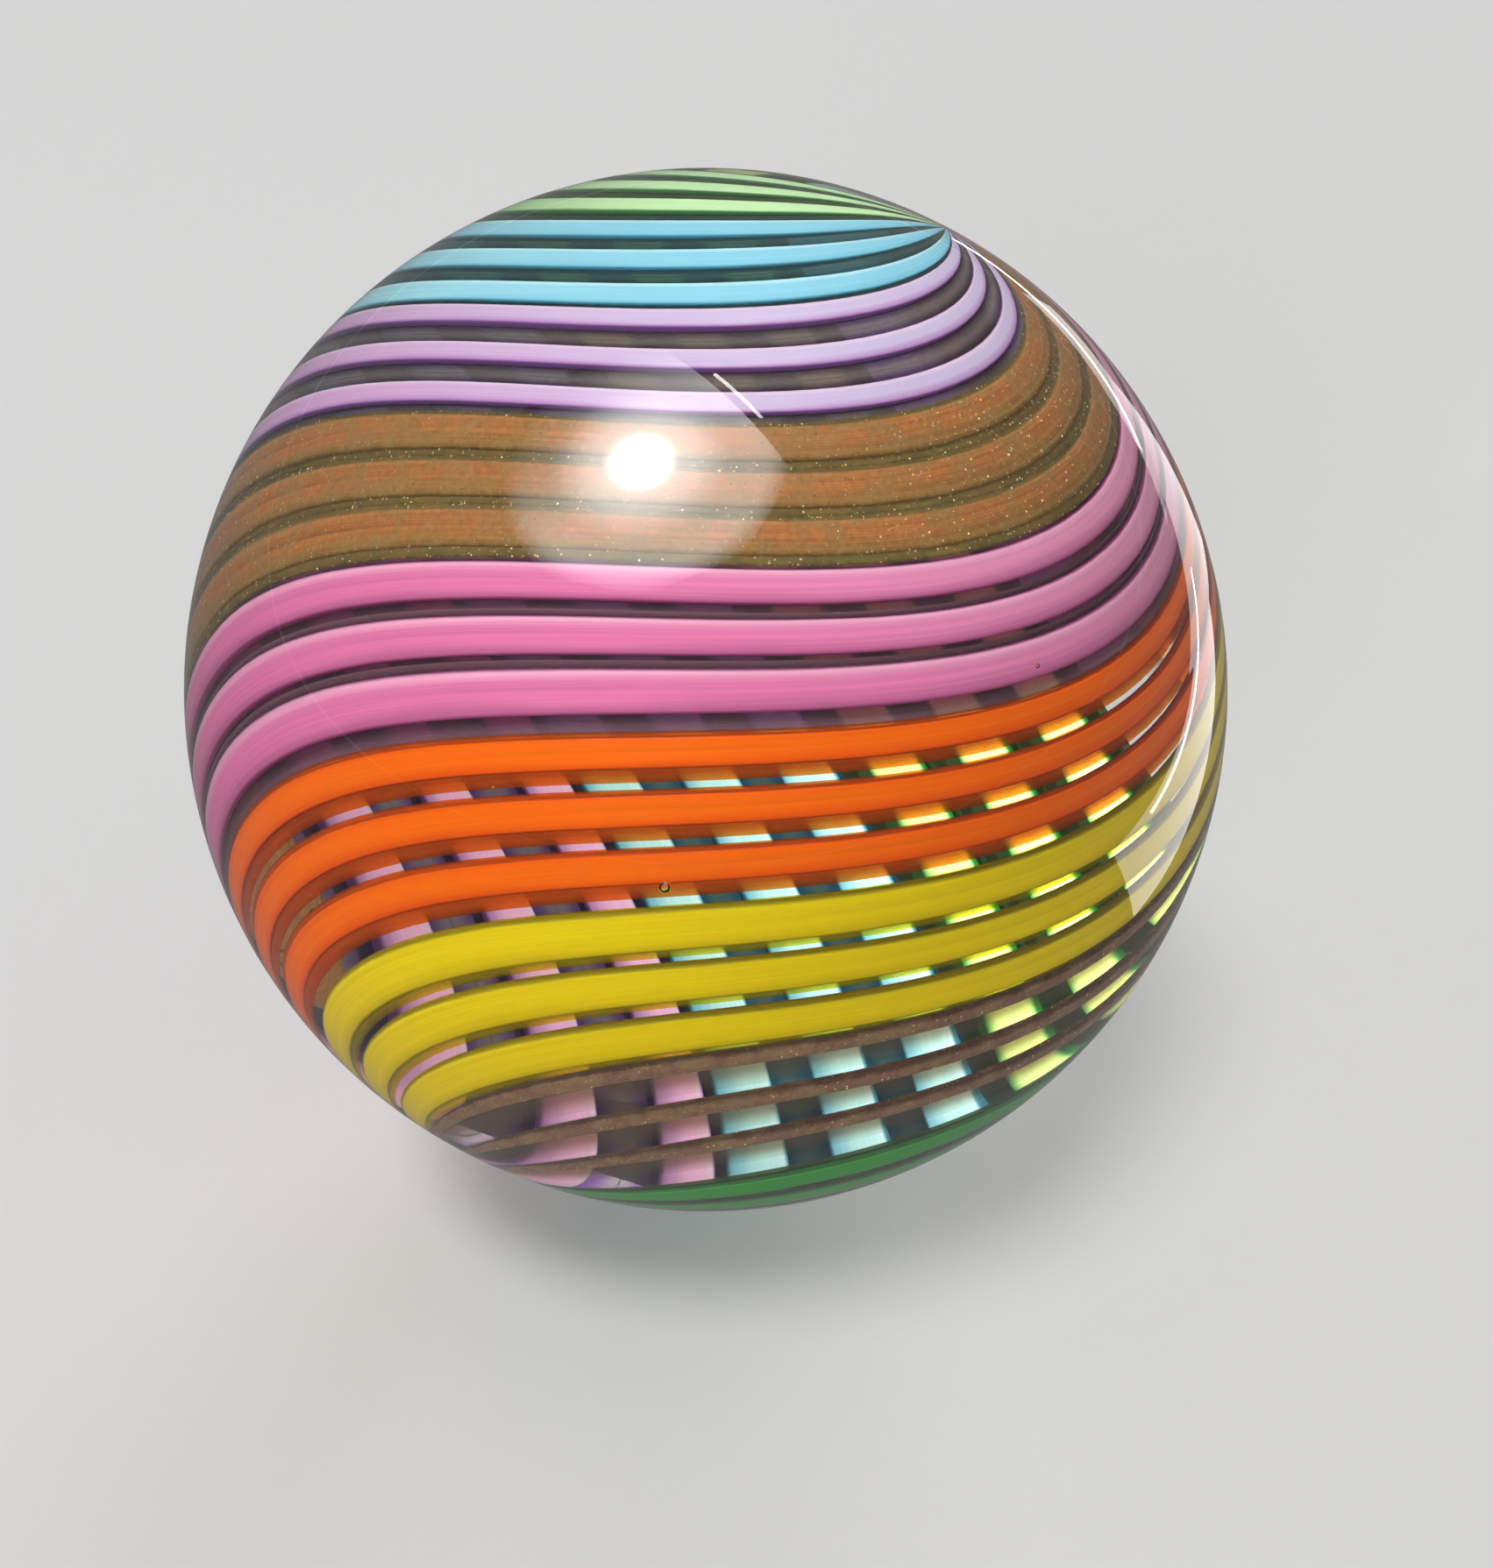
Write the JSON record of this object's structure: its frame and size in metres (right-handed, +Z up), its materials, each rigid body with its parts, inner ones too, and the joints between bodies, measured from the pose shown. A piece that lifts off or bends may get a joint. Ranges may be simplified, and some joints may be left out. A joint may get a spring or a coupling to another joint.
{
  "type": "glass marble",
  "caption": "Clear glass ball with opaque coloured canes just under its surface, twisted from pole to pole, for display, play or sorting by colour.",
  "frame": {"origin": "centre of the ball", "axes": "+Z up as the ball was displayed; the axis of the twisted canes leans 37 degrees from +Z, towards 40 degrees from +X in the XY plane"},
  "size_m": [0.05, 0.05, 0.05],
  "materials": {
    "clear_glass": "polished",
    "green_cane": "opaque pale green",
    "blue_cane": "opaque sky blue",
    "violet_cane": "opaque lilac",
    "copper_cane": "opaque copper brown with fine glitter",
    "pink_cane": "opaque rose pink",
    "orange_cane": "opaque orange",
    "yellow_cane": "opaque yellow",
    "bronze_cane": "smoky bronze with fine glitter"
  },
  "bodies": {
    "root": {"clear_glass": "clear_glass", "green_cane_1": "green_cane", "green_cane_2": "green_cane", "green_cane_3": "green_cane", "blue_cane_1": "blue_cane", "blue_cane_2": "blue_cane", "blue_cane_3": "blue_cane", "violet_cane_1": "violet_cane", "violet_cane_2": "violet_cane", "violet_cane_3": "violet_cane", "copper_cane_1": "copper_cane", "copper_cane_2": "copper_cane", "copper_cane_3": "copper_cane", "pink_cane_1": "pink_cane", "pink_cane_2": "pink_cane", "pink_cane_3": "pink_cane", "orange_cane_1": "orange_cane", "orange_cane_2": "orange_cane", "orange_cane_3": "orange_cane", "yellow_cane_1": "yellow_cane", "yellow_cane_2": "yellow_cane", "yellow_cane_3": "yellow_cane", "bronze_cane_1": "bronze_cane", "bronze_cane_2": "bronze_cane", "bronze_cane_3": "bronze_cane"}
  },
  "joints": []
}
